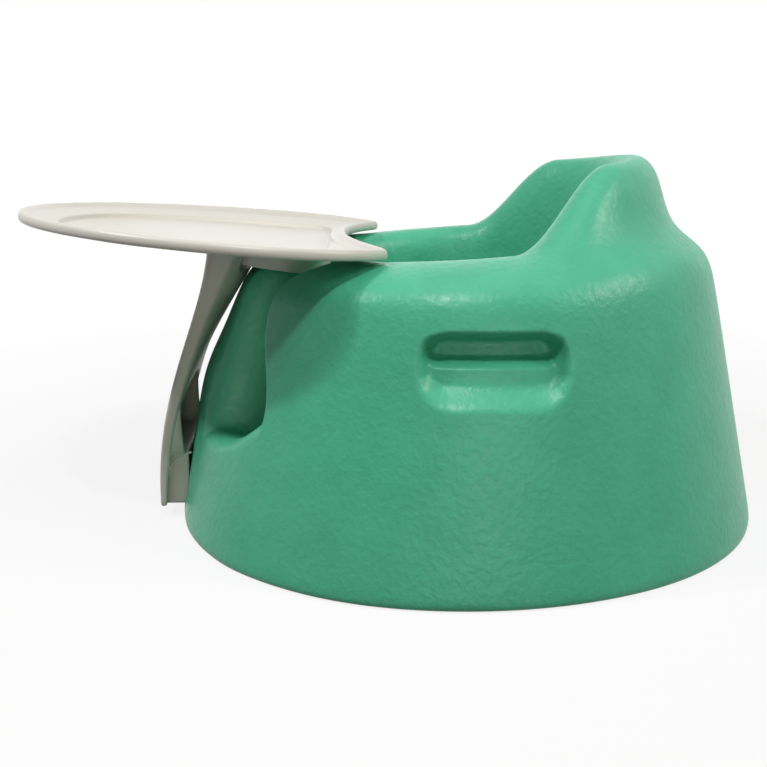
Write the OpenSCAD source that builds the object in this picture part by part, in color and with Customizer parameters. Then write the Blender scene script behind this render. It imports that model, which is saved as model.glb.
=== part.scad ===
// Baby floor seat: a one-piece foam seat with a lift-off play tray.
// The origin is the centre of the base on the floor. The tray is at the -Y end,
// the backrest at the +Y end, and the left and right sides mirror each other.

/* [Seat body] */
// Diameter of the cone that the outer wall follows, measured at the floor
base_d = 381.4; // [360:0.2:400]
// How far the foot of the wall swells out on both sides of the front
base_swell = 8; // [0:0.5:10]
// How much the radius of the outer wall shrinks for each millimetre of height
wall_taper = 0.21; // [0.18:0.01:0.24]
// Rounding of the edge round the base
base_edge = 4.5; // [3:0.5:8]
// Height of the bottom of the bowl that the baby sits in
pan_h = 50; // [42:0.5:58]
// Radius of the flat bottom of the bowl
pan_r = 82; // [76:0.5:86]
// Height of the lip under each leg opening
lip_h = 70.5; // [66:0.5:80]
// Height of the armrests where they start at the front
arm_h = 174; // [168:0.5:182]
// Rise of each armrest from the front to the foot of the backrest
arm_rise = 4; // [0:0.5:8]
// Radius of the bowl at the top of the armrests
arm_in = 101; // [97:0.5:105]
// Radius of the soft shoulder outside the armrests
arm_out = 155.5; // [152:0.5:158]
// Height of the backrest above the armrests
back_rise = 60.5; // [50:0.5:70]
// Radius of the bowl at the top of the backrest
back_in = 92; // [88:0.5:96]
// Thickness of the top of the backrest
back_t = 29; // [26:0.5:34]
// Radius of the waist between the backrest and the shelf behind it
waist_r = 127; // [124:0.5:130]

/* [Post between the legs] */
// How much lower than the armrests the post between the legs ends
post_drop = 8.3; // [7:0.1:10]
// Radius of the rear face of the post at its top
post_in = 96; // [92:0.5:100]
// Radius of the front face of the post at its top
post_out = 146.5; // [143:0.5:148]
// Height at which the front of the post starts to lean back
post_knee = 97; // [90:1:104]
// Angle from the front at which the side of the post stands
post_side = 15.3; // [14:0.1:17]
// Angle from the front at which the outer wall of the leg opening stands
arm_side = 38.6; // [37:0.1:40]
// Turn of the leg openings towards straight ahead
leg_splay = 27; // [24:0.5:30]

/* [Side grips] */
// Length of each grip pocket in the outer wall
grip_l = 77; // [70:1:90]
// Height of each grip pocket
grip_w = 35; // [30:1:40]
// Depth of each grip pocket
grip_depth = 20; // [15:1:24]
// Height of the middle of the grip pockets above the floor
grip_z = 121.5; // [110:0.5:130]
// Distance of the middle of the grip pockets behind the middle of the seat
grip_y = -3.5; // [-15:0.5:15]

/* [Tray] */
// Tilt of the tray, with its front end up
tray_tilt = 4.57; // [3:0.01:6]
// Width of the tray
tray_w = 293; // [280:1:300]
// Reach of the tray in front of its widest place
tray_front = 161; // [150:1:170]
// Reach of the horns behind the widest place
tray_rear = 104; // [98:1:108]
// Distance of the widest place in front of the middle of the post
tray_mid = 5; // [2:1:10]
// Radius of the cut-out for the belly
belly_r = 235; // [220:1:260]
// Distance of the cut-out behind the middle of the post
belly_y = 41; // [38:0.5:46]
// Height of the rolled rim over the lowest edge of the tray
rim_h = 6.5; // [6:0.1:8]
// Width of the rolled rim
rim_w = 9; // [8:0.5:12]
// Depth of the tray at the inner edge of its sloping border
border_depth = 5.5; // [4.5:0.1:6.5]
// Depth of the sunken floor under the rim
floor_depth = 9.5; // [8:0.1:11]
// Half the width of the sunken floor
floor_w = 98; // [90:1:104]
// Reach of the sunken floor in front of the middle of the post
floor_front = 141; // [130:1:148]
// Reach of the sunken floor behind the middle of the post
floor_rear = 28.5; // [26:0.5:29]
// Thickness of the tray's wall
tray_t = 2.4; // [2:0.1:3]

/* [Collar over the post] */
// Length of the collar from front to back
collar_l = 64; // [62:0.5:68]
// Width of the collar
collar_w = 92; // [90:0.5:96]
// Thickness of the collar's skirt
collar_t = 3; // [2.5:0.1:3.5]
// Thickness of the web across the collar, which sits on the post
web_t = 2.5; // [2.5:0.1:4]
// Length of the screw bosses under the tray
boss_h = 5.5; // [5:0.1:8]
// Drop of the collar's lower edge below the web, at the middle of the post
skirt_drop = 4.8; // [3:0.1:8]
// Extra tilt of the collar's lower edge
skirt_tilt = 3.3; // [2:0.1:6]
// Rounding of the collar's front lower corner
skirt_round = 9; // [6:0.5:10]

/* [Front leg] */
// Width of the front leg
leg_w = 88; // [82:1:94]
// Thickness of the leg's walls
leg_t = 2.6; // [2.2:0.1:3]
// Bulge of the leg's rear face at its top
leg_bulge = 7.5; // [6:0.5:9]
// Height of the top of the arched opening in the back of the leg
leg_arch = 93; // [80:1:100]
// Height of the foot's underside above the floor
foot_h = 8; // [7:0.1:12]
// Height of the box at the foot
foot_box = 36; // [30:0.5:40]
// Distance of the leg's front face from the seat's outer wall at the foot
foot_out = 12.2; // [10:0.1:14]
// Depth of the recess in the seat that the foot hooks into
foot_in = 7.3; // [6:0.1:9]

/* [Screws] */
// Diameter of the screw threads
screw_d = 2.4; // [2.2:0.1:3]
// Diameter of the countersunk screw heads
head_d = 5.6; // [5:0.1:6]
// Diameter of the screw bosses
boss_d = 7; // [6.6:0.1:8]
// Distance between the collar screws from side to side
screw_x = 48; // [40:1:56]
// Distance between the collar screws from front to back
screw_y = 26; // [20:1:30]
// Distance between the two leg screws
leg_screw_x = 50; // [40:1:60]

/* [Hidden] */
$fn = 64;

foam = [0.36, 0.73, 0.60];
ivory = [0.88, 0.86, 0.80];
steel = [0.75, 0.76, 0.78];

gap = 0.3;            // clearance between the seat and what rests on it
loose = 0.05;         // clearance round a screw in its hole
span_steps = 2;       // points on each span of a section curve

// ---- Shared shape functions ----
function soft_step(a, b, x) = let (t = max(0, min(1, (x - a) / (b - a)))) t * t * (3 - 2 * t);
function mix(a, b, t) = a * (1 - t) + b * t;
function bezier(p, t) = p[0] * pow(1 - t, 3) + p[1] * 3 * t * pow(1 - t, 2)
                      + p[2] * 3 * t * t * (1 - t) + p[3] * pow(t, 3);

// A smooth curve drawn towards the control points p, from the first to the last.
function spline_weights(t) = [pow(1 - t, 3), 3 * pow(t, 3) - 6 * t * t + 4,
                              -3 * pow(t, 3) + 3 * t * t + 3 * t + 1, pow(t, 3)] / 6;
function spline(p, steps) =
    let (last = len(p) - 1, q = concat([p[0], p[0]], p, [p[last], p[last]]))
    concat([for (k = [0 : len(q) - 4]) for (i = [0 : steps - 1])
                spline_weights(i / steps) * [q[k], q[k + 1], q[k + 2], q[k + 3]]],
           [p[last]]);

// A closed skin over columns of points. All columns start at the same point, and the
// ring of their last points is closed by a flat face.
module skin(columns) {
    n = len(columns);
    m = len(columns[0]) - 1;
    points = concat([columns[0][0]], [for (c = columns) for (k = [1 : m]) c[k]]);
    function at(i, k) = 1 + (i % n) * m + k;
    fan = [for (i = [0 : n - 1]) [0, at(i + 1, 0), at(i, 0)]];
    sides = [for (i = [0 : n - 1]) for (k = [0 : m - 2])
                each [[at(i, k), at(i + 1, k + 1), at(i, k + 1)],
                      [at(i, k), at(i + 1, k), at(i + 1, k + 1)]]];
    polyhedron(points, concat(fan, sides, [[for (i = [0 : n - 1]) at(i, m - 1)]]));
}

// ---- Seat body ----
// The seat is drawn as upright sections round the Z axis. Each section is a list of
// [radius, height] control points, from the middle of the bowl over the rim to the base.
base_r = base_d / 2;
function wall(z) = base_r - wall_taper * z;      // radius of the outer wall at a height
post_h = arm_h - post_drop;
shoulder_h = arm_h - 28;                         // where the straight outer wall ends

bowl = [[0, pan_h], [pan_r - 34, pan_h]];
base = [for (z = [13, 1.2]) [wall(z), z]];
foot_ring = [[base_r - base_edge, 0]];

post_section = concat(bowl, [
    [post_in - 14, pan_h + 2], [post_in - 10, pan_h + 32], [post_in - 4, post_h - 31],
    [post_in, post_h - 15], [post_in + 10, post_h - 2.5], [mix(post_in, post_out, 0.5), post_h],
    [post_out - 10.5, post_h - 1.5], [post_out, post_h - 12.5], [wall(post_knee) - 11, post_knee + 24],
    [wall(post_knee) + 2, post_knee], [wall(70) + 2.2, 70]], base, foot_ring);
leg_section = concat(bowl, [
    [pan_r - 2, pan_h + 1], [95, mix(pan_h, lip_h, 0.17)], [110, mix(pan_h, lip_h, 0.3)],
    [122, mix(pan_h, lip_h, 0.43)], [134, mix(pan_h, lip_h, 0.57)], [146, mix(pan_h, lip_h, 0.71)],
    [157, mix(pan_h, lip_h, 0.86)], [wall(lip_h) - 5.5, lip_h], [wall(lip_h) + 1.7, lip_h - 6.5],
    [wall(55), 55], [wall(39), 39]], base, foot_ring);
arm_section = concat(bowl, [
    [pan_r, pan_h + 2], [arm_in - 7, pan_h + 32], [arm_in - 2, arm_h - 31], [arm_in, arm_h - 6],
    [arm_in + 11, arm_h], [arm_in + 27, arm_h - 2.5], [arm_out - 12.5, arm_h - 7],
    [arm_out, arm_h - 14], [wall(shoulder_h), shoulder_h], [wall(112), 112], [wall(78), 78]],
    base, foot_ring);
back_h = arm_h + back_rise;
back_section = concat(bowl, [
    [pan_r - 2, pan_h + 2], [back_in - 2, pan_h + 37], [back_in, arm_h - 9], [back_in, back_h - 14.5],
    [back_in + 12, back_h], [back_in + back_t, back_h - 9.5], [waist_r, arm_h + 13],
    [arm_out - 2.5, arm_h + 1], [wall(shoulder_h + 6), shoulder_h + 6], [wall(115), 115],
    [wall(78), 78]], base, foot_ring);

// Shares of the four sections at an angle from the front.
function post_share(a) = 1 - soft_step(post_side - 3.5, post_side + 3.5, a);
function arm_share(a) = 0.63 * soft_step(arm_side - 1.1, arm_side + 1.3, a)
                      + 0.36 * soft_step(arm_side - 12.6, arm_side + 1.5, a)
                      + 0.01 * soft_step(arm_side, arm_side + 3, a);
function back_share(a) = 0.9 * soft_step(94, 134, a) + 0.1 * soft_step(120, 180, a);

function section(a) =
    let (p = post_share(a), b = back_share(a), r = arm_share(a), l = 1 - p - r,
         lift = r * (1 - b) * arm_rise * max(-6, a - 60) / 33)
    [for (k = [0 : len(arm_section) - 1])
        post_section[k] * p + leg_section[k] * l + arm_section[k] * (r - b) + back_section[k] * b
        + [0, k > 4 && k < 9 ? lift : 0]];

// The leg openings point more nearly ahead than a radius does, and their outer walls
// lean forward with height.
function splay(a) = a < 41.5 ? leg_splay * sin(a * 90 / 41.5)
                             : leg_splay * (1 - soft_step(41.5, 125, a));
function lean(a, z) = 4.2 * (1 - 2 * soft_step(80, 145, z)) * soft_step(18, 32, a)
                      * (1 - soft_step(55, 85, a));
// The foot of the wall swells out on both sides of the front.
function swell(a, r, z) = base_swell * soft_step(5, 40, a) * (1 - soft_step(50, 115, a))
                          * max(0, 1 - z / 110) * soft_step(150, 180, r);
function plan_angle(a, r, z) = a + splay(a) * (1 - r / base_r) + lean(a, z);
function seat_column(a, side) =
    [for (p = spline(section(a), span_steps))
        let (t = plan_angle(a, p[0], p[1]), r = p[0] + swell(a, p[0], p[1]))
        [side * r * sin(t), -r * cos(t), p[1]]];

// Angles from the front: [start, end, number of steps], closer where the form is steep.
angle_runs = [[0, 11, 4], [11, 20, 7], [20, 37, 6], [37, 41, 8], [41, 48, 3], [48, 92, 10], [92, 140, 11],
              [140, 180, 6]];
half_angles = [for (s = angle_runs) for (i = [0 : s[2] - 1]) mix(s[0], s[1], i / s[2])];
seat_columns = concat([for (a = half_angles) seat_column(a, 1)], [seat_column(180, 1)],
                      [for (i = [len(half_angles) - 1 : -1 : 1]) seat_column(half_angles[i], -1)]);

recess_y = -(wall(foot_h) - foot_in);            // back wall of the recess for the foot
module grip_pocket() {
    half = grip_l / 2 - grip_w / 2;
    translate([wall(grip_z) - grip_depth, grip_y, grip_z]) rotate([90, 0, 90])
        linear_extrude(grip_depth * 2) {
            square([2 * half, grip_w], center = true);
            for (x = [-half, half]) translate([x, 0]) circle(d = grip_w);
        }
}
module seat_body() {
    color(foam) difference() {
        skin(seat_columns);
        grip_pocket();
        mirror([1, 0, 0]) grip_pocket();
        translate([-leg_w / 2 - gap, recess_y - 40, foot_h - gap]) cube([leg_w + 2 * gap, 40, 60]);
    }
}

// ---- Tray frame ----
// In this frame Z = 0 is the underside of the collar's web, which rests on the post.
post_y = -(post_in + post_out) / 2;
under_z = web_t + boss_h;                        // underside of the sunken floor
crest_z = under_z + tray_t + floor_depth;        // top of the rolled rim
module on_tray() translate([0, post_y, post_h]) rotate([-tray_tilt, 0, 0]) children();

// ---- Tray top ----
// The tray is drawn as sections round a point in its floor, at these angles from the front.
tray_c = -30;                                    // that point's place in the tray's frame
tray_runs = [[0, 60, 10], [60, 112, 8], [112, 152, 17], [152, 180, 4]];
half_tray = [for (s = tray_runs) for (i = [0 : s[2] - 1]) mix(s[0], s[1], i / s[2])];
tray_angles = concat(half_tray, [180], [for (i = [len(half_tray) - 1 : -1 : 1]) 360 - half_tray[i]]);
function ray(a) = [sin(a), -cos(a)];
function ellipse_reach(a, e, w, l) =             // from a point e in front of its centre
    let (s = pow(sin(a) / w, 2) + pow(cos(a) / l, 2), h = e * cos(a) / (l * l))
    (-h + sqrt(h * h - s * (e * e / (l * l) - 1))) / s;
function soft_min(a, b, k) = let (h = max(k - abs(a - b), 0) / k) min(a, b) - h * h * k / 4;
function belly_reach(a) =
    let (d = belly_y - tray_c + belly_r, h = -cos(a) * d, s = h * h - d * d + belly_r * belly_r)
    h > 0 && s > 0 ? h - sqrt(s) : 1000;
wide_e = -tray_mid - tray_c;                     // the widest place lies behind the point
wide_a = 180 - atan2(tray_w / 2, wide_e);
function tray_reach(a) =
    soft_min(ellipse_reach(a, wide_e, tray_w / 2, abs(a - 180) < 180 - wide_a ? tray_rear : tray_front),
             belly_reach(a), 16);
function floor_reach(a) =
    let (rear = cos(a) < 0, n = rear ? 5 : 2.2, l = rear ? floor_rear - tray_c : floor_front + tray_c)
    pow(pow(abs(sin(a)) / floor_w, n) + pow(abs(cos(a)) / l, n), -1 / n);

// The rim follows the outline at a depth d inside it, square to the outline.
function inside(a, d) =
    let (t = tray_reach(a + 0.3) * ray(a + 0.3) - tray_reach(a - 0.3) * ray(a - 0.3))
    tray_reach(a) * ray(a) + d * [-t[1], t[0]] / norm(t);
// The sunken floor has an outline of its own. Both lists run over the top, round the
// rim and back underneath, as [distance, height below the crest of the rim].
t = tray_t;
floor_top = [[-32, floor_depth], [-2.5, floor_depth], [-0.3, floor_depth - 0.9],
             [1, border_depth + 0.5], [2.5, border_depth]];
rim_round = [[rim_w + 0.7, 3.4], [rim_w - 1.5, 2.5], [5, 0.6], [3, 0], [1.2, 0.7], [0, 3],
             [0.6, rim_h - 0.6], [2, rim_h], [4, rim_h - 0.3], [rim_w - 2, 3.2 + t], [rim_w + 0.7, 3.5 + t]];
floor_under = [[2, border_depth + t], [0.4, border_depth + t + 0.6], [-0.8, floor_depth + t - 0.6],
               [-3, floor_depth + t]];
function tray_column(a) =
    concat([[0, 0, -floor_depth]],
           [for (q = floor_top) concat((floor_reach(a) + q[0]) * ray(a), -q[1])],
           [for (q = rim_round) concat(inside(a, q[0]), -q[1])],
           [for (q = floor_under) concat((floor_reach(a) + q[0]) * ray(a), -q[1])]);
tray_columns = [for (a = tray_angles) [for (q = tray_column(a)) q + [0, tray_c, crest_z]]];

collar_screw_places = [for (x = [-1, 1]) for (y = [-1, 1]) [x * screw_x / 2, y * screw_y / 2]];
leg_screw_y = -collar_l / 2 - boss_d / 2 - gap;
leg_screw_places = [for (x = [-1, 1]) [x * leg_screw_x / 2, leg_screw_y]];
all_screw_places = concat(collar_screw_places, leg_screw_places);

module tray_top() {
    color(ivory) on_tray() difference() {
        union() {
            skin(tray_columns);
            for (p = all_screw_places) translate([p[0], p[1], web_t])
                cylinder(d = boss_d, h = boss_h + tray_t / 2);
        }
        for (p = all_screw_places) translate([p[0], p[1], 0])
            cylinder(d = screw_d + 2 * loose, h = under_z + tray_t / 2);
    }
}

// ---- Screws ----
screw_l = under_z + tray_t / 2 - 0.5;            // from the face of the web
module screw(p) {
    translate([p[0], p[1], 0]) {
        cylinder(d = screw_d, h = screw_l);
        cylinder(d1 = head_d, d2 = screw_d, h = (head_d - screw_d) / 2);
    }
}
module screw_hole(p) {
    play = 2 * loose;
    translate([p[0], p[1], 0]) {
        cylinder(d = screw_d + play, h = web_t * 2);
        cylinder(d1 = head_d + play, d2 = screw_d + play, h = (head_d - screw_d) / 2);
    }
}

// ---- Collar over the post ----
// An oval skirt under the tray, closed by a web that the screws hold to the bosses.
function oval(l, w) = [for (i = [0 : 79])
    let (a = i * 4.5, n = 2 / 2.6)
    [w / 2 * sign(sin(a)) * pow(abs(sin(a)), n), -l / 2 * sign(cos(a)) * pow(abs(cos(a)), n)]];
skirt_h = collar_l / 3;                          // height of the skirt before its lower edge is cut
module below_skirt() rotate([-skirt_tilt, 0, 0]) translate([-collar_w, 0, -skirt_drop]) {
    translate([0, -collar_l, -2 * skirt_h]) cube([2 * collar_w, 2 * collar_l, 2 * skirt_h]);
    difference() {
        translate([0, -collar_l / 2 - skirt_round, -skirt_h])
            cube([2 * collar_w, 2 * skirt_round, skirt_h + skirt_round]);
        translate([-1, skirt_round - collar_l / 2, skirt_round]) rotate([0, 90, 0])
            cylinder(r = skirt_round, h = 2 * collar_w + 2);
    }
}
module collar_room(h) linear_extrude(h) polygon(oval(collar_l - 2 * collar_t, collar_w - 2 * collar_t));
module post_collar() {
    color(ivory) on_tray() difference() {
        translate([0, 0, -skirt_h]) linear_extrude(under_z + skirt_h) polygon(oval(collar_l, collar_w));
        translate([0, 0, web_t]) collar_room(under_z);
        translate([0, 0, -2 * skirt_h]) collar_room(2 * skirt_h);
        below_skirt();
        for (p = collar_screw_places) screw_hole(p);
    }
}

// ---- Front leg ----
// The side view of the leg as [Y, Z], along its front and rear edges from the top down.
leg_top = post_h + under_z + 4;
foot_front = -(wall(foot_h) + foot_out);
function before_wall(d, z) = [-(wall(z) + d), z];
front_edge = [[-(post_out + 19.5), leg_top], before_wall(5.7, leg_top - 51),
              [foot_front - 3, 85], [foot_front, foot_h]];
rear_edge = [[-(post_out - 4.5), leg_top - 6], before_wall(1.2, leg_top - 40),
             [foot_front + 10.2, 80], [foot_front + leg_t + 2.2, foot_h]];
edge_steps = 14;
function edge(p) = [for (i = [0 : edge_steps]) bezier(p, i / edge_steps)];
function reversed(p) = [for (i = [len(p) - 1 : -1 : 0]) p[i]];
function shifted(p, dy) = [for (q = p) q + [dy, 0]];
function power(x, n) = sign(x) * pow(abs(x), n);

// The leg is a stack of rounded rings, whose rear face bulges towards its top.
ring_steps = 48;
function leg_ring(k) =
    let (f = edge(front_edge)[k], r = edge(rear_edge)[k], m = (f + r) / 2, d = (r - f) / 2,
         bulge = leg_bulge * soft_step(85, 150, r[1]) / norm(d))
    [for (i = [0 : ring_steps - 1])
        let (a = i * 360 / ring_steps, x = power(sin(a), 0.35), y = -power(cos(a), 0.35),
             q = m + d * (y + bulge * (1 - x * x) * max(0, y)))
        [x * leg_w / 2, q[0], q[1]]];
module leg_body() {
    rings = [for (k = [edge_steps : -1 : 0]) leg_ring(k)];
    n = ring_steps;
    sides = [for (k = [0 : edge_steps - 1]) for (i = [0 : n - 1])
                let (a = k * n + i, b = k * n + (i + 1) % n)
                each [[a, a + n, b], [b, a + n, b + n]]];
    polyhedron([for (r = rings) each r],
               concat(sides, [[for (i = [0 : n - 1]) i], [for (i = [n - 1 : -1 : 0]) edge_steps * n + i]]));
}
module side_profile(points, w) rotate([90, 0, 90]) translate([0, 0, -w / 2]) linear_extrude(w) polygon(points);

foot_rear = recess_y - gap;
foot_side = leg_w / 2 - 4;                       // outer face of the foot box
arch_w = leg_w - 2 * leg_t;
module leg_inside() {
    top = [0, leg_top];
    intersection() {
        side_profile(concat(shifted(edge(front_edge), leg_t), [[0, foot_h], top]), arch_w);
        union() {
            side_profile(concat(shifted(edge(rear_edge), -leg_t), [[-base_d, foot_h], [-base_d, leg_top]]),
                         arch_w);
            // The arched opening at the back
            translate([0, -base_d, 0]) rotate([-90, 0, 0]) linear_extrude(base_d) intersection() {
                translate([-arch_w / 2, -leg_arch]) square([arch_w, leg_arch - foot_h + 1]);
                translate([0, arch_w * 0.7 - leg_arch]) circle(r = arch_w * 0.7);
            }
        }
    }
}
module leg_foot() {
    front = foot_front + leg_t / 2;
    for (s = [-1, 1]) translate([s * (foot_side - leg_t / 2) - leg_t / 2, front, foot_h])
        cube([leg_t, foot_rear - front, foot_box]);
    for (z = [foot_h, foot_h + foot_box - leg_t])
        translate([-foot_side + 1, front, z]) cube([2 * foot_side - 2, foot_rear - front, leg_t]);
}
module front_leg() {
    color(ivory) difference() {
        union() {
            difference() {
                leg_body();
                leg_inside();
            }
            leg_foot();
            on_tray() translate([-leg_w / 2 + 1, leg_screw_y - boss_d / 2 - 1, 0])
                cube([leg_w - 2, boss_d + 2, web_t]);
        }
        // Room for the tray's underside, the collar and the screws
        on_tray() translate([-leg_w, -2 * collar_l, under_z]) cube([2 * leg_w, 4 * collar_l, collar_l]);
        on_tray() translate([0, 0, -web_t * 3]) linear_extrude(collar_l)
            polygon(oval(collar_l + 2 * gap, collar_w + 2 * gap));
        on_tray() for (p = leg_screw_places) {
            screw_hole(p);
            translate([p[0], p[1], web_t]) cylinder(d = boss_d + 2 * gap, h = boss_h * 2);
        }
    }
}

module collar_screws() { color(steel) on_tray() for (p = collar_screw_places) screw(p); }
module leg_screws() { color(steel) on_tray() for (p = leg_screw_places) screw(p); }

seat_body();
tray_top();
post_collar();
front_leg();
collar_screws();
leg_screws();
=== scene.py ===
import math

import bmesh
import bpy
import numpy as np
from mathutils import Matrix


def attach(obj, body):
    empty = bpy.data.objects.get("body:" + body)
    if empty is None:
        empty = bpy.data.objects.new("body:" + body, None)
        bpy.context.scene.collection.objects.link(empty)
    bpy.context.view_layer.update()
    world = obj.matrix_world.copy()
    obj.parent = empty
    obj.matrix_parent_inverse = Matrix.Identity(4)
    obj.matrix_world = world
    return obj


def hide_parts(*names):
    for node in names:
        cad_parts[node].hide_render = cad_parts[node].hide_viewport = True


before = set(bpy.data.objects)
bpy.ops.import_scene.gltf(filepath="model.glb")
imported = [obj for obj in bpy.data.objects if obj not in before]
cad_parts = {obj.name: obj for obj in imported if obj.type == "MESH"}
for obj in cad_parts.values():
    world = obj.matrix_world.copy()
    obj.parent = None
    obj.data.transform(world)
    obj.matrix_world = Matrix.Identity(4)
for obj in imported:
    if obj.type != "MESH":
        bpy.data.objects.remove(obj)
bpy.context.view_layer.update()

bpy.context.scene.view_settings.view_transform = "Standard"

# ---------------------------------------------------------------- Camera
# The photograph looks at the seat's left side from a little above, from about 70 cm
# away, with the tray to the left. X runs to the seat's left, Y to its back and Z up.
eye = (0.690, -0.0762, 0.2375)
yaw, pitch = 0.03139, 0.2261  # radians
focal_px, photo_px, sensor_mm = 1042, 767, 36


def new_object(name, data):
    """An object that holds this data, linked to the scene."""
    thing = bpy.data.objects.new(name, data)
    bpy.context.scene.collection.objects.link(thing)
    return thing


def stand(thing, right, up, back, place):
    """Puts a camera or lamp at a place, with its axes along right, up and back."""
    rows = [[*axes, along] for axes, along in zip(zip(right, up, back), place)]
    thing.matrix_world = Matrix(rows + [[0, 0, 0, 1]])


level = math.cos(pitch)
forward = np.array([-math.cos(yaw) * level, math.sin(yaw) * level, -math.sin(pitch)])
across = np.cross(forward, [0, 0, 1])
across /= np.linalg.norm(across)
camera = new_object("camera", bpy.data.cameras.new("camera"))
camera.data.sensor_width = sensor_mm
camera.data.lens = sensor_mm * focal_px / photo_px
stand(camera, across, np.cross(across, forward), -forward, eye)
bpy.context.scene.camera = camera

# ---------------------------------------------------------------- Foam seat
# One moulding of soft foam with a tough skin of shallow blisters. It stands on its whole
# underside, and it has a bowl, two leg openings with a post between them, a raised back,
# a grip pocket on each side and a recess for the foot of the tray's leg.
MM = 0.001  # the pieces are worked out in millimetres


def soft_step(low, high, x):
    """0 below low, 1 above high, and 3t^2 - 2t^3 in between."""
    t = np.clip((x - low) / (high - low), 0, 1)
    return t * t * (3 - 2 * t)


def soft_steps(steps, x):
    """Sum of soft steps, each given as (height, low, high)."""
    return sum(height * soft_step(low, high, x) for height, low, high in steps)


def mound(edges, x):
    """A soft step up between the first two edges, and one down between the last two."""
    return soft_step(*edges[:2], x) * (1 - soft_step(*edges[2:], x))


def spline(points, places):
    """Uniform cubic B-spline with tripled end points. points has shape (rows, 2, columns),
    and places are distances along it in spans. The result has shape (places, 2, columns)."""
    whole = np.concatenate([points[:1], points[:1], points, points[-1:], points[-1:]])
    span = np.minimum(places.astype(int), len(whole) - 4)
    t = (places - span)[:, None, None]
    return (
        (1 - t) ** 3 * whole[span]
        + (3 * t**3 - 6 * t**2 + 4) * whole[span + 1]
        + (-3 * t**3 + 3 * t**2 + 3 * t + 1) * whole[span + 2]
        + t**3 * whole[span + 3]
    ) / 6


def runs(*pieces):
    """Places spread evenly over each run (start, end, steps), and the last end."""
    spread = [np.linspace(start, end, steps, endpoint=False) for start, end, steps in pieces]
    return np.concatenate(spread + [[pieces[-1][1]]])


def grid_quads(rows, columns, close_rows=False, close_columns=False):
    """Quads of a grid of points that are numbered row by row. Each goes along its row, on to
    the next row and back. Either direction can close on itself."""
    i, k = np.meshgrid(
        np.arange(rows if close_rows else rows - 1),
        np.arange(columns if close_columns else columns - 1),
        indexing="ij",
    )
    row, next_row, next_column = i * columns, (i + 1) % rows * columns, (k + 1) % columns
    quads = [row + k, row + next_column, next_row + next_column, next_row + k]
    return np.stack(quads, -1).reshape(-1, 4)


def closed_skin(grid, first_pole, last_pole):
    """Points and faces of a grid of shape (turns, places, 3) that closes on itself over its
    turns, with a fan of triangles to a pole at each end of its places. The faces look
    outwards where turns run anticlockwise and places from the top to the underside."""
    turns, places = grid.shape[:2]
    points = np.concatenate([grid.reshape(-1, 3), [first_pole, last_pole]])
    first = np.arange(turns) * places
    last = first + places - 1
    pole = np.full(turns, turns * places)
    faces = grid_quads(turns, places, close_rows=True).tolist()
    faces += np.stack([pole, first, np.roll(first, -1)], -1).tolist()
    faces += np.stack([pole + 1, np.roll(last, -1), last], -1).tolist()
    return points, faces


def new_piece(name, points, faces, body):
    """A smooth-shaded mesh object with its place in its mesh, riding on a body."""
    mesh = bpy.data.meshes.new(name)
    mesh.from_pydata((np.asarray(points) * MM).tolist(), [], faces)
    mesh.shade_smooth()
    piece = new_object(name, mesh)
    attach(piece, body)
    return piece


wall_foot, wall_taper = 190.7, 0.21


def wall(z):
    """Radius of the outer wall's cone: that at the floor, less the taper times the height."""
    return wall_foot - wall_taper * z


# Sections from the middle of the bowl over the rim to the underside, as (radius, height).
# Each starts with bowl_start and ends with wall_end.
bowl_h, lip = 50, 65.5
bowl_start = [(0, bowl_h), (48, bowl_h)]
wall_end = [(wall(13), 13), (wall(1.2), 1.2), (wall_foot - 4.5, 0)]
over_post = [
    (82, 52), (86, 82), (92, 134.7), (96, 150.7), (106, 163.2), (121.25, 165.7), (136, 164.2),
    (146.5, 153.2), (wall(97) - 11, 121), (wall(97) + 2, 97), (wall(70) + 2.2, 70),
]
through_leg = [
    (80, 51), (95, 52.8), (110, 54.6), (122, 56.4), (134, 58.5), (146, 60.8), (157, 63.2),
    (wall(lip) - 5.5, lip), (wall(lip) + 1.7, lip - 6.5), (wall(55), 55), (wall(39), 39),
]
over_arm = [
    (82, 52), (94, 82), (99, 143), (101, 168), (112, 174), (128, 171.5), (143, 167),
    (155.5, 160), (wall(146), 146), (wall(112), 112), (wall(78), 78),
]
over_back = [
    (80, 52), (90, 87), (92, 165), (92, 220), (104, 234.5), (121, 225), (127, 187),
    (153, 175), (wall(152), 152), (wall(115), 115), (wall(78), 78),
]
sections = [
    np.array(bowl_start + rows + wall_end)[:, :, None]
    for rows in (over_post, through_leg, over_arm, over_back)
]

# How one section turns into the next, by the angle from straight ahead in degrees
post_side = (11.8, 18.8)
arm_steps = ((0.2, 24, 40.1), (0.64, 36.1, 39.9), (0.01, 38.6, 41.6))
arm_bend, bend_start, bend_span = 0.15, 20, 20
back_steps = ((0.9, 94, 134), (0.1, 120, 180))
# The armrest's top climbs towards the back by this much a degree, on these rows
arm_climb, climb_start, climb_low, top_rows = 4 / 33, 60, -6, slice(5, 9)
# The most that each change can be, and the angles, heights and radii where it works
splay_most, splay_peak, splay_end = 27, 41.5, 125
lean_most, lean_turns, lean_heights = 4.2, (18, 32, 55, 85), (80, 145)
swell_most, swell_turns, swell_h, swell_radii = 8, (5, 40, 50, 115), 110, (150, 180)


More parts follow.
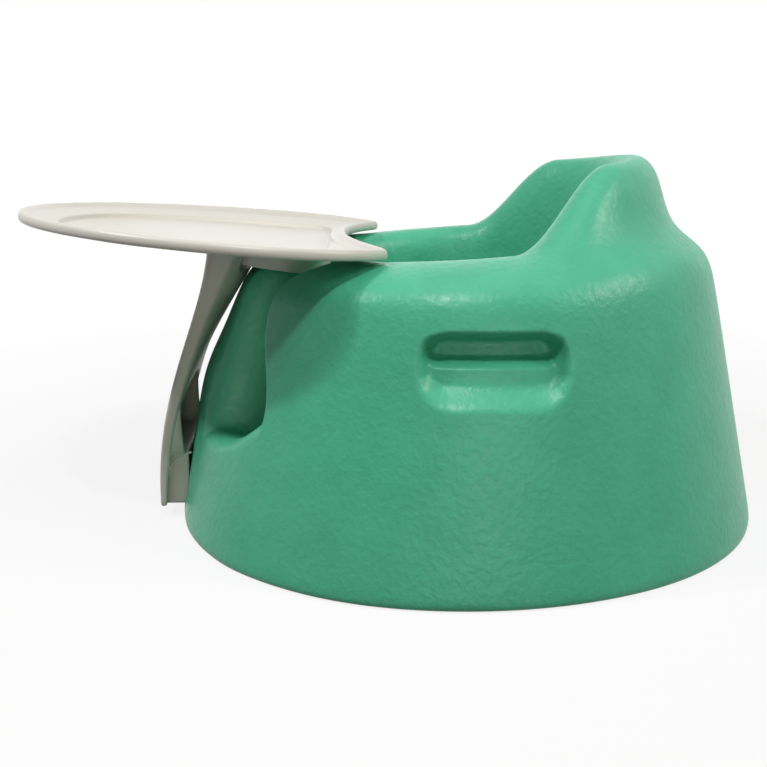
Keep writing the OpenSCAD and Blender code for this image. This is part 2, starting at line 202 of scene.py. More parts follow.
def seat_grid(turn, places):
    """The seat's skin over angles from straight ahead (degrees, towards the seat's left) and
    places along the sections. Each angle mixes the four sections by their shares, which are
    soft steps, and for the armrest also 1 less a quarter circle. Then the leg openings are
    splayed: the nearer a point is to the middle, the further back it turns, so that they
    run more straight ahead. Their outer walls lean forwards, and the wall's foot swells."""
    a = np.abs(turn)[None, :]
    post = 1 - soft_step(*post_side, a)
    bend = 1 - np.sqrt(1 - np.clip((a - bend_start) / bend_span, 0, 1) ** 2)
    arm = soft_steps(arm_steps, a) + arm_bend * bend
    back = soft_steps(back_steps, a)
    shares = (post, 1 - post - arm, arm - back, back)
    rows = sum(section * share for section, share in zip(sections, shares))
    rows[top_rows, 1] += arm * (1 - back) * arm_climb * np.maximum(a - climb_start, climb_low)
    r, z = spline(rows, places).transpose(1, 0, 2)
    splay = splay_most * np.where(
        a < splay_peak,
        np.sin(np.radians(a * 90 / splay_peak)),
        1 - soft_step(splay_peak, splay_end, a),
    )
    lean = lean_most * (1 - 2 * soft_step(*lean_heights, z)) * mound(lean_turns, a)
    low_wall = np.maximum(0, 1 - z / swell_h) * soft_step(*swell_radii, r)
    reach = r + swell_most * mound(swell_turns, a) * low_wall
    angle = np.radians((a + splay * (1 - r / wall_foot) + lean) * np.where(turn < 0, -1, 1))
    return reach * np.sin(angle), -reach * np.cos(angle), z


# The grip pocket is a hollow with a slot for the fingertips in its upper half. Each is an
# oblong: the y and z of its middle, half its length and height, and its corner's radius.
grip_hollow, hollow_d, hollow_edge, lip_edge = (-1.5, 121.5, 41.5, 21.5, 19), 7.8, 7, 8
grip_slot, slot_d, slot_edge = (-1.6, 131.2, 40, 10, 9.8), 8, 7


def inside_oblong(y, z, middle_y, middle_z, half_length, half_height, corner):
    """Distance inside the edge of an oblong with round corners, which is the corner's radius
    less the distance outside the middles of the corners, and how far down the nearest edge
    faces (1 at the bottom, 0 at the sides and the top)."""
    out_y = np.maximum(np.abs(y - middle_y) - half_length + corner, 0)
    out_z = np.maximum(np.abs(z - middle_z) - half_height + corner, 0)
    reach = np.hypot(out_y, out_z)
    down = np.where(z < middle_z, out_z / np.maximum(reach, 0.01), 0)
    return corner - reach, down


def grip_depth(y, z):
    """Depth of the grip pocket: a soft step in from the hollow's edge, which takes longer at
    the lower lip so that it leans out gently, and one more in from the slot's edge."""
    inside, down = inside_oblong(y, z, *grip_hollow)
    in_slot, _ = inside_oblong(y, z, *grip_slot)
    hollow = hollow_d * soft_step(0, 1, inside / (hollow_edge + lip_edge * down))
    return hollow + slot_d * soft_step(0, slot_edge, in_slot)


# Angles and places along the sections, closer together where the skin bends more
half_turns = runs(
    (0, 10, 8), (10, 20, 24), (20, 36, 14), (36, 42, 20), (42, 50, 10), (50, 66, 12),
    (66, 74, 20), (74, 96, 48), (96, 106, 24), (106, 140, 26), (140, 180, 24),
)
turns = np.concatenate([half_turns, -half_turns[-2:0:-1]])
places = runs(
    (0, 2, 5), (2, 10.5, 64), (10.5, 11.5, 22), (11.5, 13, 90), (13, 14, 24), (14, 17, 18)
)[1:]
x, y, z = seat_grid(turns, places)

# The grip pockets and the recess for the tray's foot are pressed into the outer wall. The
# first four values say which part of the skin that is.
outside_r, grip_side, recess_below, recess_ahead = 140, 100, 50, -150
recess_side, recess_sill, recess_floor = (44.2, 45.6), (7, 8.2), -181.7
r, side = np.hypot(x, y), np.abs(x)
press = np.where((r > outside_r) & (side > grip_side), grip_depth(y, z), 0)
x, y = x * (1 - press / r), y * (1 - press / r)
recess = (1 - soft_step(*recess_side, side)) * soft_step(*recess_sill, z)
recess = recess * (z < recess_below) * (y < recess_ahead)
y = y + recess * np.maximum(0, recess_floor - y)

grid = np.stack([x, y, z], -1).transpose(1, 0, 2)
points, faces = closed_skin(grid, [0, 0, bowl_h], [0, 0, 0])
seat = new_piece("foam_seat", points, faces, "seat")
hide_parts("seat_body")


def node_material(name, colour, roughness):
    """A Principled material with its colour and roughness on the sockets, its tree and its
    shader."""
    material = bpy.data.materials.new(name)
    material.use_nodes = True
    tree = material.node_tree
    shader = tree.nodes["Principled BSDF"]
    shader.inputs["Base Color"].default_value = (*colour, 1)
    shader.inputs["Roughness"].default_value = roughness
    return material, tree, shader


def add(tree, kind, **values):
    """Adds a node. Words that name an input set it, and others set the node's own values."""
    node = tree.nodes.new(kind)
    for key, value in values.items():
        if key in node.inputs:
            node.inputs[key].default_value = value
        else:
            setattr(node, key, value)
    return node


def pattern(tree, kind, **values):
    """Adds a texture or mapping node that reads Object coordinates."""
    node = add(tree, kind, **values)
    place = add(tree, "ShaderNodeTexCoord").outputs["Object"]
    tree.links.new(place, node.inputs["Vector"])
    return node


def ramp(tree, source, *stops):
    """A colour ramp fed by source, with stops (place, linear colour or grey)."""
    node = add(tree, "ShaderNodeValToRGB")
    for element in list(node.color_ramp.elements)[1:]:
        node.color_ramp.elements.remove(element)
    for k, (place, colour) in enumerate(stops):
        element = node.color_ramp.elements[0] if k == 0 else node.color_ramp.elements.new(place)
        element.position = place
        element.color = (*np.broadcast_to(np.array(colour, float), 3).tolist(), 1)
    tree.links.new(source, node.inputs["Fac"])
    return node.outputs["Color"]


def raise_bumps(tree, shader, *layers):
    """Bumps laid one over another on the shader's normal, as (source, strength, metres)."""
    normal = None
    for source, strength, distance in layers:
        bump = add(tree, "ShaderNodeBump", Strength=strength, Distance=distance)
        tree.links.new(source, bump.inputs["Height"])
        if normal is not None:
            tree.links.new(normal, bump.inputs["Normal"])
        normal = bump.outputs["Normal"]
    tree.links.new(normal, shader.inputs["Normal"])


# Skin: shallow blisters a few millimetres wide, fine creases, slow swells and a faint mottle
foam, tree, shader = node_material("foam_skin", (0.077, 0.49, 0.307), 0.38)
shader.inputs["Specular IOR Level"].default_value = 0.36
mottle = pattern(tree, "ShaderNodeTexNoise", Scale=38.0, Detail=4.0, Roughness=0.6)
blisters = pattern(tree, "ShaderNodeTexNoise", Scale=260.0, Detail=1.5, Roughness=0.5)
creases = pattern(tree, "ShaderNodeTexVoronoi", Scale=420.0, feature="DISTANCE_TO_EDGE")
swells = pattern(tree, "ShaderNodeTexNoise", Scale=70.0, Detail=2.0)
deep_green, pale_green = (0.068, 0.46, 0.285), (0.086, 0.52, 0.33)
green = ramp(tree, mottle.outputs["Fac"], (0.3, deep_green), (0.7, pale_green))
tree.links.new(green, shader.inputs["Base Color"])
raise_bumps(
    tree, shader,
    (swells.outputs["Fac"], 0.25, 0.001),
    (ramp(tree, blisters.outputs["Fac"], (0.42, 0), (0.62, 1)), 0.4, 0.00026),
    (creases.outputs["Distance"], 0.1, 0.0001),
)
rough = ramp(tree, blisters.outputs["Fac"], (0.3, 0.32), (0.7, 0.42))
tree.links.new(rough, shader.inputs["Roughness"])
seat.data.materials.append(foam)

# ---------------------------------------------------------------- Tray top
# A thin tray moulded in one piece, with a rolled rim, a gently sloping border and
# a sunken floor. Its rear edge is cut out for the baby's belly. Six hollow bosses
# under the floor take the screws of the collar and the leg.
post_y, post_h, tilt = -121.25, 165.7, math.radians(4.57)  # the tray's frame, on the post
web_t, boss_h, tray_t = 2.5, 5.5, 2.4
rim_h, rim_w, border_d, floor_d = 6.5, 9, 5.5, 9.5
under_z = web_t + boss_h  # the floor's underside
crest_z = under_z + tray_t + floor_d  # the rim's crest
centre_y = -30  # the point that the tray is drawn round
# The oval: half its width, how far behind the centre point it is widest, and its reach
# in front of that place and behind it
tray_half, widest_back, tray_front, tray_rear = 146.5, 25, 161, 104
belly_r, belly_y, belly_blend = 235, 41, 16  # the cut-out's circle, its front and the blend
floor_half, floor_front, floor_rear = 98, 111, 60  # reach from the centre point
floor_front_power, floor_rear_power = 2.2, 9


def on_tray(p):
    """From the tray's frame to the seat's: turned by the tilt, which lifts the tray's front,
    and moved onto the post."""
    x, y, z = np.moveaxis(np.asarray(p, float), -1, 0)
    c, s = math.cos(tilt), math.sin(tilt)
    return np.stack([x, post_y + y * c + z * s, post_h - y * s + z * c], -1)


def tray_reach(turn):
    """Distance from the centre point to the tray's edge: the nearer of an oval, which is
    longer in front of its widest place, and the circle of the belly cut-out, blended by
    taking off a quarter of the blend times the square of how near the two are."""
    a = np.radians(turn)
    behind = np.abs(turn - 180) < np.degrees(np.arctan2(tray_half, widest_back))
    length = np.where(behind, tray_rear, tray_front)
    s = (np.sin(a) / tray_half) ** 2 + (np.cos(a) / length) ** 2
    h = widest_back * np.cos(a) / length**2
    on_oval = (-h + np.sqrt(h * h - s * (widest_back**2 / length**2 - 1))) / s
    away = belly_y - centre_y + belly_r
    h = -np.cos(a) * away
    root = h * h - away * away + belly_r**2
    cut = np.where((h > 0) & (root > 0), h - np.sqrt(np.maximum(root, 0)), np.inf)
    near = np.maximum(belly_blend - np.abs(on_oval - cut), 0) / belly_blend
    return np.minimum(on_oval, cut) - near * near * belly_blend / 4


def floor_reach(turn):
    """Distance from the centre point to the floor's edge: a superellipse that is round in
    front of the point and nearly square behind it."""
    a = np.radians(turn)
    rear = np.cos(a) < 0
    power = np.where(rear, floor_rear_power, floor_front_power)
    length = np.where(rear, floor_rear, floor_front)
    total = (np.abs(np.sin(a)) / floor_half) ** power + (np.abs(np.cos(a)) / length) ** power
    return total ** (-1 / power)


half_turns = runs((0, 60, 50), (60, 112, 44), (112, 152, 90), (152, 180, 26))
turns = np.concatenate([half_turns, 360 - half_turns[-2:0:-1]])
ray = np.stack([np.sin(np.radians(turns)), -np.cos(np.radians(turns))], -1)
edge = tray_reach(turns)[:, None] * ray
tangent = np.roll(edge, -1, 0) - np.roll(edge, 1, 0)
inward = np.stack([-tangent[:, 1], tangent[:, 0]], -1)
inward /= np.linalg.norm(tangent, axis=1)[:, None]
floor_edge = floor_reach(turns)[:, None]

# The tray's section as (distance, depth below the rim's crest), over the top, round the rim
# and back below. Distances run out from the floor's edge, and in from the tray's edge.
floor_top = [
    (-32, floor_d), (-2.5, floor_d), (-0.3, floor_d - 0.9), (0.9, border_d + 0.6),
    (2.2, border_d - 0.1),
]
rim_round = [
    (rim_w + 2, 3.7), (rim_w + 0.7, 3.2), (rim_w - 1.5, 2.5), (5, 0.6), (3, -0.1), (1, 0.5),
    (-0.1, 3), (0.3, rim_h - 0.6), (2, rim_h + 0.1), (4, rim_h - 0.3),
    (rim_w - 2, 3.2 + tray_t), (rim_w + 0.7, 3.5 + tray_t),
]
floor_under = [
    (2, border_d + tray_t), (0.4, border_d + tray_t + 0.6), (-0.8, floor_d + tray_t - 0.6),
    (-3, floor_d + tray_t),
]


def at_depth(place, depth):
    """A row of control points all round the tray, at one depth below the rim's crest."""
    return np.column_stack([place, np.full(len(turns), -depth)])


control = np.stack(
    [at_depth(ray * 0, floor_d)]
    + [at_depth((floor_edge + distance) * ray, depth) for distance, depth in floor_top]
    + [at_depth(edge + distance * inward, depth) for distance, depth in rim_round]
    + [at_depth((floor_edge + distance) * ray, depth) for distance, depth in floor_under]
    + [at_depth(ray * 0, floor_d + tray_t)]
)
spans = len(control) - 1
places = runs((0, 2, 3), (2, spans + 2, 4 * spans))[1:-1]
dish = spline(control.transpose(0, 2, 1), places).transpose(2, 0, 1) + [0, centre_y, crest_z]


def tube(profile, centre, steps=48):
    """A turned part: a closed profile of (radius, height) carried round the Z axis."""
    angle = np.radians(np.arange(steps) * 360 / steps)[:, None]
    radius, height = np.array(profile, float).T
    height = np.broadcast_to(height, (steps, len(profile)))
    ring = np.stack([np.sin(angle) * radius, -np.cos(angle) * radius, height], -1)
    quads = grid_quads(steps, len(profile), close_rows=True, close_columns=True)
    return ring.reshape(-1, 3) + [*centre, 0], quads.tolist()


def joined(parts):
    """The points and faces of several closed parts, as those of one mesh."""
    points, faces, first = [], [], 0
    for part_points, part_faces in parts:
        points.append(part_points)
        faces += [[n + first for n in face] for face in part_faces]
        first += len(part_points)
    return np.concatenate(points), faces


bore_r, boss_r = 1.25, 3.5
boss = [
    (boss_r - 0.3, web_t), (boss_r, web_t + 0.3), (boss_r, under_z + 1.2),
    (bore_r, under_z + 1), (bore_r, web_t),
]
collar_screw_places = [(x, y) for x in (-24, 24) for y in (-13, 13)]
leg_screw_places = [(x, -35.8) for x in (-25, 25)]
points, faces = joined(
    [closed_skin(dish, [0, centre_y, crest_z - floor_d], [0, centre_y, under_z])]
    + [tube(boss, centre) for centre in collar_screw_places + leg_screw_places]
)
tray = new_piece("tray_dish", on_tray(points), faces, "tray")
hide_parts("tray_top")


def satin_plastic(name, colour, roughness):
    """Moulded plastic: a fine even grain and very faint clouds in its colour and gloss."""
    material, tree, shader = node_material(name, colour, roughness)
    clouds = pattern(tree, "ShaderNodeTexNoise", Scale=14.0, Detail=3.0).outputs["Fac"]
    grain = pattern(tree, "ShaderNodeTexNoise", Scale=1400.0, Detail=2.0).outputs["Fac"]
    dark, pale = np.array(colour) * 0.965, np.minimum(1, np.array(colour) * 1.02)
    tree.links.new(ramp(tree, clouds, (0.3, dark), (0.7, pale)), shader.inputs["Base Color"])
    raise_bumps(tree, shader, (grain, 0.18, 0.00008))
    spread = ramp(tree, clouds, (0.3, roughness - 0.04), (0.7, roughness + 0.05))
    tree.links.new(spread, shader.inputs["Roughness"])
    return material


ivory = satin_plastic("ivory_plastic", (0.69, 0.665, 0.6), 0.38)
tray.data.materials.append(ivory)

# ---------------------------------------------------------------- Collar
# An oval saddle that fits over the post, moulded in the tray's plastic. Its web rests on
# the post, and four screws from below hold it to the tray's bosses.
collar_l, collar_w, collar_wall, oval_power = 64, 92, 3, 2.6
skirt_h, skirt_slope, skirt_round, skirt_top = 4.8, 3.3, 9, 4  # the slope is in degrees


def oval(length, width, steps=144):
    """An oval, anticlockwise from its front: a superellipse of power oval_power."""
    a = np.radians(np.arange(steps) * 360 / steps)
    x, y = np.sin(a), np.cos(a)
    n = 2 / oval_power
    return np.stack(
        [width / 2 * np.sign(x) * np.abs(x) ** n, -length / 2 * np.sign(y) * np.abs(y) ** n], -1
    )


def skirt_edge(y):
    """Height of the skirt's lower edge: a line that falls to the rear, with a quarter circle
    up to the collar's front."""
    y = np.maximum(y, 0.1 - collar_l / 2)
    line = -skirt_h - y * math.tan(math.radians(skirt_slope))
    ahead = np.maximum(0, skirt_round - collar_l / 2 - y)
    return line + skirt_round - np.sqrt(skirt_round**2 - ahead**2)


outer = oval(collar_l, collar_w)
inner = oval(collar_l - 2 * collar_wall, collar_w - 2 * collar_wall)
low = skirt_edge(outer[:, 1])


def at_height(plan, height):
    """The points of a plan, such as an oval, at one height or at a height for each."""
    return np.column_stack([plan, np.broadcast_to(height, len(plan))])


# From the web's underside down inside the skirt, round its edge, up outside and to the top
skirt_section = ((0, 1.6), (0, 0.6), (0.15, 0.12), (0.5, 0), (0.85, 0.12), (1, 0.6), (1, 1.6))
shell = np.stack(
    [at_height(inner * share, 0) for share in (0.5, 0.96)]
    + [at_height(inner, -0.6)]
    + [
        at_height(inner + (outer - inner) * share, np.minimum(low + rise, skirt_top))
        for share, rise in skirt_section
    ]
    + [at_height(outer, 5), at_height(outer, under_z)]
    + [at_height(inner, under_z), at_height(inner, web_t)],
    1,
)
points, faces = closed_skin(shell, [0, 0, 0], [0, 0, web_t])
faces = [[face[0], *face[:0:-1]] for face in faces]  # because the rows start at the underside
collar = new_piece("post_saddle", on_tray(points), faces, "tray")


def merge_doubles(piece, distance=2e-6):
    """Joins the points of a piece that lie in one place, so that its seams are closed."""
    shell = bmesh.new()
    shell.from_mesh(piece.data)
    bmesh.ops.remove_doubles(shell, verts=shell.verts, dist=distance)
    shell.to_mesh(piece.data)
    shell.free()


merge_doubles(collar)
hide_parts("post_collar")
collar.data.materials.append(ivory)

# ---------------------------------------------------------------- Front leg
# A curved hollow leg, moulded in one piece, that runs from the tray's floor down the
# front of the seat. Its back is open in an arch over the foot, a shallow box that
# hooks into the seat's recess. Two screws hold its web to the tray's bosses.
leg_w, leg_t, foot_h = 88, 2.6, 8  # width, wall, and how high the foot ends
leg_top = post_h + under_z + 4
rear_top = leg_top - 6
foot_front = -(wall(foot_h) + 12.2)
# Control points (y, z) of the leg's front and rear faces, from the tray down to the foot
front_face = np.array([
    [-166, leg_top],
    [-(wall(leg_top - 51) + 5.7), leg_top - 51],
    [foot_front - 3, 85],
    [foot_front, foot_h],
])
rear_face = np.array([
    [-142, rear_top],
    [-(wall(leg_top - 40) + 1.2), leg_top - 40],
    [foot_front + 10.2, 80],
    [foot_front + leg_t + 2.2, foot_h],
])
arch_top, arch_round, arch_side = 88.5, 78.5, 40.9  # crest height, radius and half width
# The crown of the back: its height, where it rises, and where it becomes squarer
crown_most, crown_heights, crown_square = 7.5, (85, 150), (138, 152)
# A section's nearly flat middle, its squareness outside and its power inside
flat_share, squareness, inner_power = 0.8, 0.35, 12
# Room round the collar and under the tray, and the heights where it opens
collar_gap, tray_gap, gap_heights = 0.4, 0.1, (-8, -5)


def bezier(p, t):
    """Cubic Bezier curve through four control points."""
    t = np.asarray(t)[:, None]
    s = 1 - t
    return p[0] * s**3 + p[1] * 3 * t * s**2 + p[2] * 3 * t**2 * s + p[3] * t**3


# Levels from the foot up, by the height of the rear face: even steps, then the arch by
# its own angle, then even steps to the tray. The arch's half width is 0 above its crest.
arch_turn = np.linspace(math.asin(arch_side / arch_round), 0, 18)
arch_z = arch_top - arch_round * (1 - np.cos(arch_turn))
foot_z = [foot_h, foot_h + 0.4, foot_h + 1.1]
low_z, high_z = np.linspace(11, arch_z[0], 22)[:-1], np.linspace(arch_top, rear_top, 32)[1:]
level_z = np.concatenate([foot_z, low_z, arch_z, high_z])
opening = np.concatenate([
    np.full(len(foot_z) + len(low_z), arch_side),
    arch_round * np.sin(arch_turn),
    np.zeros(len(high_z)),
])
open_levels = len(level_z) - len(high_z)  # up to the arch's crest
dense = np.linspace(1, 0, 600)
t = np.interp(level_z, bezier(rear_face, dense)[:, 1], dense)
front, rear = bezier(front_face, t), bezier(rear_face, t)
crown = crown_most * soft_step(*crown_heights, rear[:, 1])

# Unit places across half a section, from the middle of the rear towards the side
corner = np.linspace(math.asin(flat_share ** (1 / squareness)), math.pi / 2, 12)[1:-1]
across_half = np.concatenate([np.linspace(0, flat_share, 9), np.sin(corner) ** squareness])


def leg_skin(front, rear, half_width, power):
    """One skin over levels and columns, from one lip of the back over the front to the other.
    Each section is a superellipse, whose rear half is squeezed aside by the arch's opening
    and crowned above it by 1 less a power of the place across."""
    gap = opening[:, None] / half_width
    x_rear = gap + (1 - gap) * across_half[None, :]
    y_rear = np.maximum(1 - x_rear**power, 0) ** (1 / power)
    x_front = np.broadcast_to(across_half[::-1], x_rear.shape)
    y_front = -(np.maximum(1 - x_front**power, 0) ** (1 / power))
    y_side = np.array([[0.6, 0.2, -0.2, -0.6]]) * y_rear[:, -1:]
    x = np.concatenate([x_rear, np.ones_like(y_side), x_front], 1)
    y = np.concatenate([y_rear, y_side, y_front], 1)
    x, y = np.concatenate([x, -x[:, -2::-1]], 1), np.concatenate([y, y[:, -2::-1]], 1)
    middle, half = (front + rear) / 2, (rear - front) / 2
    fullness = 1 - np.abs(x) ** (2 + 2 * soft_step(*crown_square, rear[:, 1]))[:, None]
    depth = y * (1 + (crown / np.linalg.norm(half, axis=1))[:, None] * fullness * (y > 0))
    yz = middle[:, None, :] + half[:, None, :] * depth[:, :, None]
    return np.concatenate([(x * half_width)[:, :, None], yz], -1)


def off_tray(p):
    """From the seat's frame to the tray's: moved off the post and turned back."""
    c, s = math.cos(tilt), math.sin(tilt)
    y, z = p[..., 1] - post_y, p[..., 2] - post_h
    return np.stack([p[..., 0], y * c - z * s, y * s + z * c], -1)


def under_tray(p, room):
    """Ends the leg below the tray's floor, and moves what is past the collar's oval forward
    onto an oval with some room round it."""
    x, y, z = np.moveaxis(off_tray(p), -1, 0)
    inside = 1 - (np.abs(x) / (collar_w / 2 + room)) ** oval_power
    collar_front = -(collar_l / 2 + room) * np.maximum(inside, 0) ** (1 / oval_power)
    y = y - np.maximum(0, y - collar_front) * soft_step(*gap_heights, z)
    z = np.minimum(z, under_z - tray_gap)
    z[-1] = under_z - tray_gap
    return on_tray(np.stack([x, y, z], -1))


outer = leg_skin(front, rear, leg_w / 2, 2 / squareness)
inner_front = front + [leg_t, 0]
inner_rear_y = np.maximum(rear[:, 0] - leg_t, inner_front[:, 0] + 0.5)
inner_rear = np.stack([inner_rear_y, rear[:, 1]], -1)
inner = leg_skin(inner_front, inner_rear, leg_w / 2 - leg_t, inner_power)
outer, inner = under_tray(outer, collar_gap), under_tray(inner, leg_t)
for level, share in ((0, 0.3), (1, 0.1)):  # the foot's rounded end
    outer[level] += (inner[level] - outer[level]) * share
levels, columns = outer.shape[:2]
lip_shares = (0.15, 0.5, 0.85)  # a line at each share across each lip of the arch
lip_lines = []
for end, sign in ((0, 1), (-1, -1)):
    for share in lip_shares:
        line = (outer[:, end] + (inner[:, end] - outer[:, end]) * share)[:open_levels]
        bulge = np.minimum(0.5, opening[:open_levels] * 0.1) * math.sin(math.pi * share)
        line[:, 0] -= sign * bulge
        lip_lines.append(line)
points = np.concatenate([outer.reshape(-1, 3), inner.reshape(-1, 3), *lip_lines])
inner_first, lips_first = levels * columns, 2 * levels * columns  # numbers of first points
quads = grid_quads(levels, columns)[:, [0, 3, 2, 1]]  # turned over, to face outwards
faces = quads.tolist() + (quads[:, ::-1] + inner_first).tolist()
for level, turn in ((0, 1), (levels - 1, -1)):  # the foot's end and the top
    a = level * columns + np.arange(columns - 1)
    ends = np.stack([a, a + 1, a + 1 + inner_first, a + inner_first], -1)
    faces += ends[:, ::turn].tolist()
for end, turn in ((0, 1), (1, -1)):  # the lips
    up = np.arange(open_levels)
    skin_line = up * columns + end * (columns - 1)
    lip_line = lips_first + end * len(lip_shares) * open_levels + up
    between = [lip_line + j * open_levels for j in range(len(lip_shares))]
    strip = [skin_line, *between, skin_line + inner_first]
    for one, two in zip(strip[:-1], strip[1:]):
        band = np.stack([one[:-1], two[:-1], two[1:], one[1:]], -1)
        faces += band[:, ::turn].tolist()
    faces.append([int(line[0]) for line in strip][::-turn])
leg_parts = [(points, faces)]


def closed_strip(rows):
    """Points and faces of rows of points, of shape (rows, points, 3), that close on
    themselves along each row. Both ends are capped."""
    count, around = rows.shape[:2]
    caps = [list(range(around))[::-1], list(range((count - 1) * around, count * around))]
    return rows.reshape(-1, 3), grid_quads(count, around, close_columns=True).tolist() + caps


# The foot box: a rounded sleeve from the leg's front into the recess, open at its rear
recess_d, recess_play = 7.3, 0.3
foot_rear = -(wall(foot_h) - recess_d) - recess_play
foot_side, foot_box, foot_round = leg_w / 2 - 4, 36, 3.2  # half width, height and corners
sleeve_steps = 64
turn = np.radians(np.arange(sleeve_steps) * 360 / sleeve_steps + 2.8)  # never on an axis


def sleeve(inset, y):
    """One loop of the sleeve at a distance inside its outer face: a rectangle with round
    corners."""
    r = max(foot_round - inset, 0.6)
    half_x, half_z = foot_side - inset - r, foot_box / 2 - inset - r
    x = np.sign(np.cos(turn)) * half_x + r * np.cos(turn)
    z = np.sign(np.sin(turn)) * half_z + r * np.sin(turn)
    return np.stack([x, np.full(sleeve_steps, y), z + foot_h + foot_box / 2], -1)


# Outside from the front to the rear, round the rear edge and back inside, as (inset, y)
sleeve_section = [
    (0, foot_front + 1.6), (0, foot_rear - 1), (0.3, foot_rear - 0.3), (0.9, foot_rear),
    (1.8, foot_rear), (2.3, foot_rear - 0.3), (leg_t, foot_rear - 1), (leg_t, foot_front + 2.2),
]
rows = np.stack([sleeve(inset, y) for inset, y in sleeve_section])
quads = grid_quads(len(rows), sleeve_steps, close_rows=True, close_columns=True)
leg_parts.append((rows.reshape(-1, 3), quads[:, [0, 3, 2, 1]].tolist()))

# Ribs that widen the side walls above the foot, and a bead along an arc on each side of the
# box. A rib's section is (x, 1 for its rear face or 0 for the leg's front, inset).
rib_z = np.array([foot_h + foot_box - 2, 50, 56, 62, 68, 74, 79, 83, 86, arch_top])
rib_rear = -np.array([184.4, 184.9, 185.3, 185.6, 185.7, 185.6, 185.3, 184.9, 185.2, 187])
rib_front = np.interp(rib_z, front[:, 1], front[:, 0]) + 1.5
rib_section = (
    (38.6, 0, 0), (38.6, 1, 0.9), (39.2, 1, 0.2), (40.2, 1, 0), (41.2, 1, 0.2), (42, 1, 0.9),
    (42, 0, 0),
)
bead_y, bead_z, bead_arc, bead_r, bead_steps = -177.5, 25, 18.4, 0.75, 10
arc = np.radians(np.linspace(97, 172, 22))
around = np.radians(np.arange(bead_steps) * 360 / bead_steps)[None, :, None]
for side in (-1, 1):
    rib = []
    for x, at_rear, inset in rib_section:
        y = rib_rear - inset if at_rear else rib_front
        rib.append(np.stack([np.full(len(rib_z), side * x), y, rib_z], -1))
    leg_parts.append(closed_strip(np.stack(rib, 1)[:, ::-side]))
    out = np.stack([np.zeros(len(arc)), np.cos(arc), np.sin(arc)], -1)
    centre = [side * (foot_side + 0.1), bead_y, bead_z] + bead_arc * out
    bead = np.cos(around) * out[:, None, :] + np.sin(around) * np.array([1, 0, 0])
    leg_parts.append(closed_strip((centre[:, None, :] + bead_r * bead)[:, ::-1]))

# The web that the two screws hold
web_side, web_front, web_rear = 41.8, -40.3, -32.8
web_plan = np.array([
    (-web_side, web_front), (web_side, web_front), (web_side, web_rear), (-web_side, web_rear)
])
web = np.stack([at_height(web_plan, 0), at_height(web_plan, web_t)])
leg_parts.append(closed_strip(on_tray(web)))

points, faces = joined(leg_parts)
leg = new_piece("front_strut", points, faces, "tray")
merge_doubles(leg)
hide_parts("front_leg")
leg.data.materials.append(ivory)

# ---------------------------------------------------------------- Screws
# Small zinc-plated countersunk screws, driven from below: four hold the collar and two
# the leg. They are the CAD's own pieces with a better material.
steel, tree, shader = node_material("zinc_steel", (0.62, 0.62, 0.64), 0.3)
shader.inputs["Metallic"].default_value = 1
scuffs = pattern(tree, "ShaderNodeTexNoise", Scale=900.0, Detail=3.0)
rough = ramp(tree, scuffs.outputs["Fac"], (0.3, 0.24), (0.7, 0.4))
tree.links.new(rough, shader.inputs["Roughness"])
for name in ("collar_screws", "leg_screws"):
    for material_slot in bpy.data.objects[name].material_slots:
        material_slot.material = steel

# ---------------------------------------------------------------- Floor and light
# A dark grey floor that looks white by a glow seen only directly, and a white surround, two
# pairs of small lamps in front and above that throw the tray's shadow, and soft lights from the
# ceiling, the rear and the sides. The floor's glow is weaker near the object: painted shade
# under it, in which the lamps' real shadow also shows.
floor_size, fade_r = 12, 1.1  # metres
# Painted shade: the floor glows only this strongly near the object, so it is painted a little
# grey under the object, where the lamps' real shadow falls too.
glow_near_object = 0.84  # how white the floor looks near the object, before it fades to 1 at fade_r
surround_light = 0.02  # the surround's strength as a light on the object


def seen_directly(tree):
    """1 for rays that show the surface to the camera, also in gloss or through glass, and 0
    for rays that carry its light to the object: the largest of three kinds of ray."""
    rays = add(tree, "ShaderNodeLightPath")
    seen = rays.outputs["Is Camera Ray"]
    for kind in ("Is Glossy Ray", "Is Transmission Ray"):
        larger = add(tree, "ShaderNodeMath", operation="MAXIMUM")
        tree.links.new(seen, larger.inputs[0])
        tree.links.new(rays.outputs[kind], larger.inputs[1])
        seen = larger.outputs[0]
    return seen


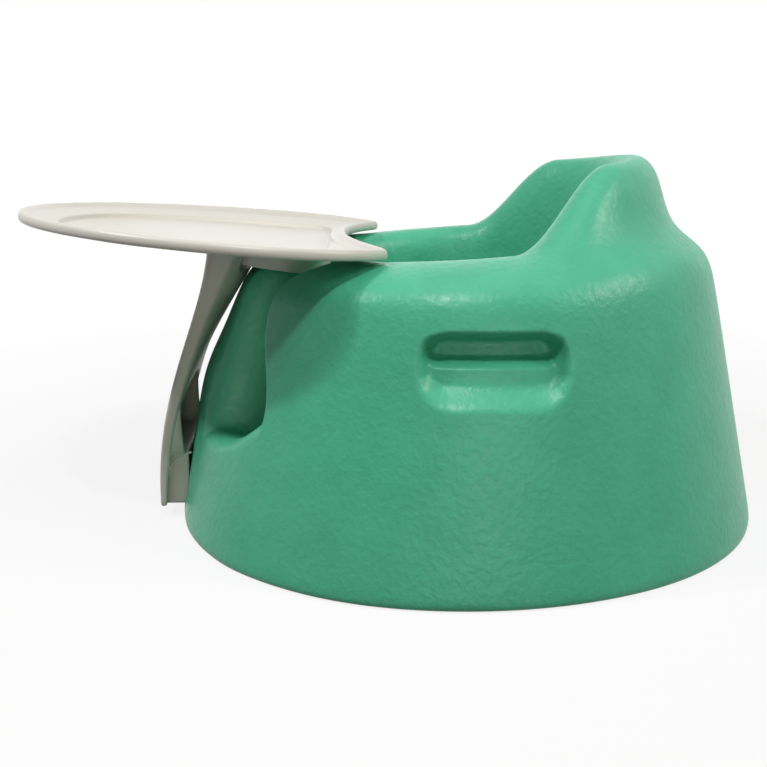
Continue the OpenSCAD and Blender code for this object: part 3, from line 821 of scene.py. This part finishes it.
bpy.ops.mesh.primitive_plane_add(size=floor_size, location=(0, 0, 0))
floor = bpy.context.object
floor.name = "studio_floor"
paper, tree, shader = node_material("white_paper", (0.14, 0.14, 0.14), 0.9)
shader.inputs["Specular IOR Level"].default_value = 0
shader.inputs["Emission Color"].default_value = (1, 1, 1, 1)
nearby = pattern(tree, "ShaderNodeMapping", Scale=(1 / fade_r,) * 3)
spot = add(tree, "ShaderNodeTexGradient", gradient_type="SPHERICAL")
tree.links.new(nearby.outputs["Vector"], spot.inputs["Vector"])
# Painted shade under the object: the glow falls from full strength far off to a little less
# near the object.
glow_fading_near_object = ramp(tree, spot.outputs["Fac"], (0, 1), (0.7, glow_near_object))
glow_when_seen = add(tree, "ShaderNodeMath", operation="MULTIPLY")
tree.links.new(seen_directly(tree), glow_when_seen.inputs[0])
tree.links.new(glow_fading_near_object, glow_when_seen.inputs[1])
tree.links.new(glow_when_seen.outputs[0], shader.inputs["Emission Strength"])
floor.data.materials.append(paper)

world = bpy.data.worlds.new("studio")
world.use_nodes = True
bpy.context.scene.world = world
tree = world.node_tree
tree.nodes.clear()
output = add(tree, "ShaderNodeOutputWorld")
surround = add(tree, "ShaderNodeBackground", Color=(1, 1, 1, 1))
strength = add(tree, "ShaderNodeMapRange", **{"To Min": surround_light, "To Max": 1.0})
tree.links.new(seen_directly(tree), strength.inputs["Value"])
tree.links.new(strength.outputs["Result"], surround.inputs["Strength"])
tree.links.new(surround.outputs[0], output.inputs["Surface"])


def soft_box(name, place, size, watts, colour=(1, 1, 1)):
    """A square area light at a place, in metres, that points at the object's foot."""
    lamp = bpy.data.lights.new(name, "AREA")
    lamp.size, lamp.energy, lamp.color = size, watts, colour
    box = new_object(name, lamp)
    box.visible_camera = False
    back = np.array(place) / np.linalg.norm(place)
    right = np.cross([0, 0, 1], back)
    right /= np.linalg.norm(right)
    stand(box, right, np.cross(back, right), back, place)


def from_front(turn, rise, distance):
    """The place at a distance, turned from straight ahead towards the seat's left and risen
    above the floor by angles in degrees."""
    turn, rise = math.radians(turn), math.radians(rise)
    out = distance * math.cos(rise)
    return (out * math.sin(turn), -out * math.cos(turn), distance * math.sin(rise))


soft_box("front_left_light", from_front(13, 48, 1.2), 0.05, 3.3)
soft_box("front_right_light", from_front(19, 50.5, 1.2), 0.05, 1.1)
soft_box("top_left_light", from_front(75, 58, 1.2), 0.08, 3.1)
soft_box("top_right_light", from_front(66, 63, 1.3), 0.05, 0.6)
soft_box("ceiling_light", (0.1, 0.1, 2.2), 1.6, 5.5)
soft_box("rear_light", from_front(157, 40, 1.8), 0.6, 11, (1, 0.97, 0.9))
soft_box("side_light", from_front(96, 9, 2.2), 0.9, 5.5, (1, 0.97, 0.84))
soft_box("far_light", from_front(275, 22, 1.8), 0.8, 1.0)
